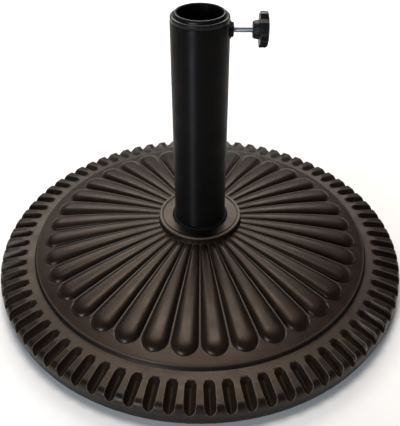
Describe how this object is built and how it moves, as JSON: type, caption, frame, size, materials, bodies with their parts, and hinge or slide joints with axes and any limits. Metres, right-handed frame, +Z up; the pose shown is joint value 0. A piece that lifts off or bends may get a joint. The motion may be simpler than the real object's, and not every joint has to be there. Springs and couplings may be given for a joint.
{
  "type": "parasol base",
  "caption": "Round parasol base: concrete-filled resin dome with raised flutes and a grooved rim, steel stem tube and a side clamp screw.",
  "frame": {"origin": "on the ground under the centre of the disc", "axes": "+Z up along the tube, +X towards the clamp knob"},
  "size_m": [0.4948, 0.4948, 0.319],
  "materials": {
    "shell_resin": "satin dark bronze resin, lightly textured",
    "concrete": "rough grey concrete",
    "cover_plastic": "moulded matte black",
    "zinc_steel": "zinc plated",
    "rubber": "matte black",
    "coated_steel": "satin black powder coat",
    "collar_plastic": "satin black",
    "knob_plastic": "satin black"
  },
  "bodies": {
    "base": {"base_shell": "shell_resin", "concrete_core": "concrete", "bottom_cover": "cover_plastic", "fill_plug": "cover_plastic", "cover_screws": "zinc_steel", "rubber_feet": "rubber", "foot_plate": "coated_steel", "anchor_bolts": "zinc_steel", "anchor_washers": "zinc_steel", "anchor_nuts": "zinc_steel", "socket_sleeve": "cover_plastic", "tube": "coated_steel", "tube_seal_ring": "rubber", "pole_seat": "cover_plastic", "top_collar": "collar_plastic", "weld_nut": "coated_steel"},
    "clamp_pad": {"pressure_pad": "collar_plastic"},
    "clamp_screw": {"clamp_bolt": "zinc_steel", "knob": "knob_plastic", "knob_cap": "knob_plastic"}
  },
  "joints": [
    {"name": "clamp_feed", "type": "slide", "parent": "base", "child": "clamp_pad", "axis": [-1, 0, 0], "range_m": [0, 0.0151]},
    {"name": "clamp_turn", "type": "hinge", "parent": "clamp_pad", "child": "clamp_screw", "pos_m": [0.04, 0, 0.301], "axis": [-1, 0, 0], "range_deg": [0, 5400]}
  ],
  "couplings": [
    {"joint": "clamp_feed", "follows": "clamp_turn", "m_per_rad": 0.00015915}
  ]
}
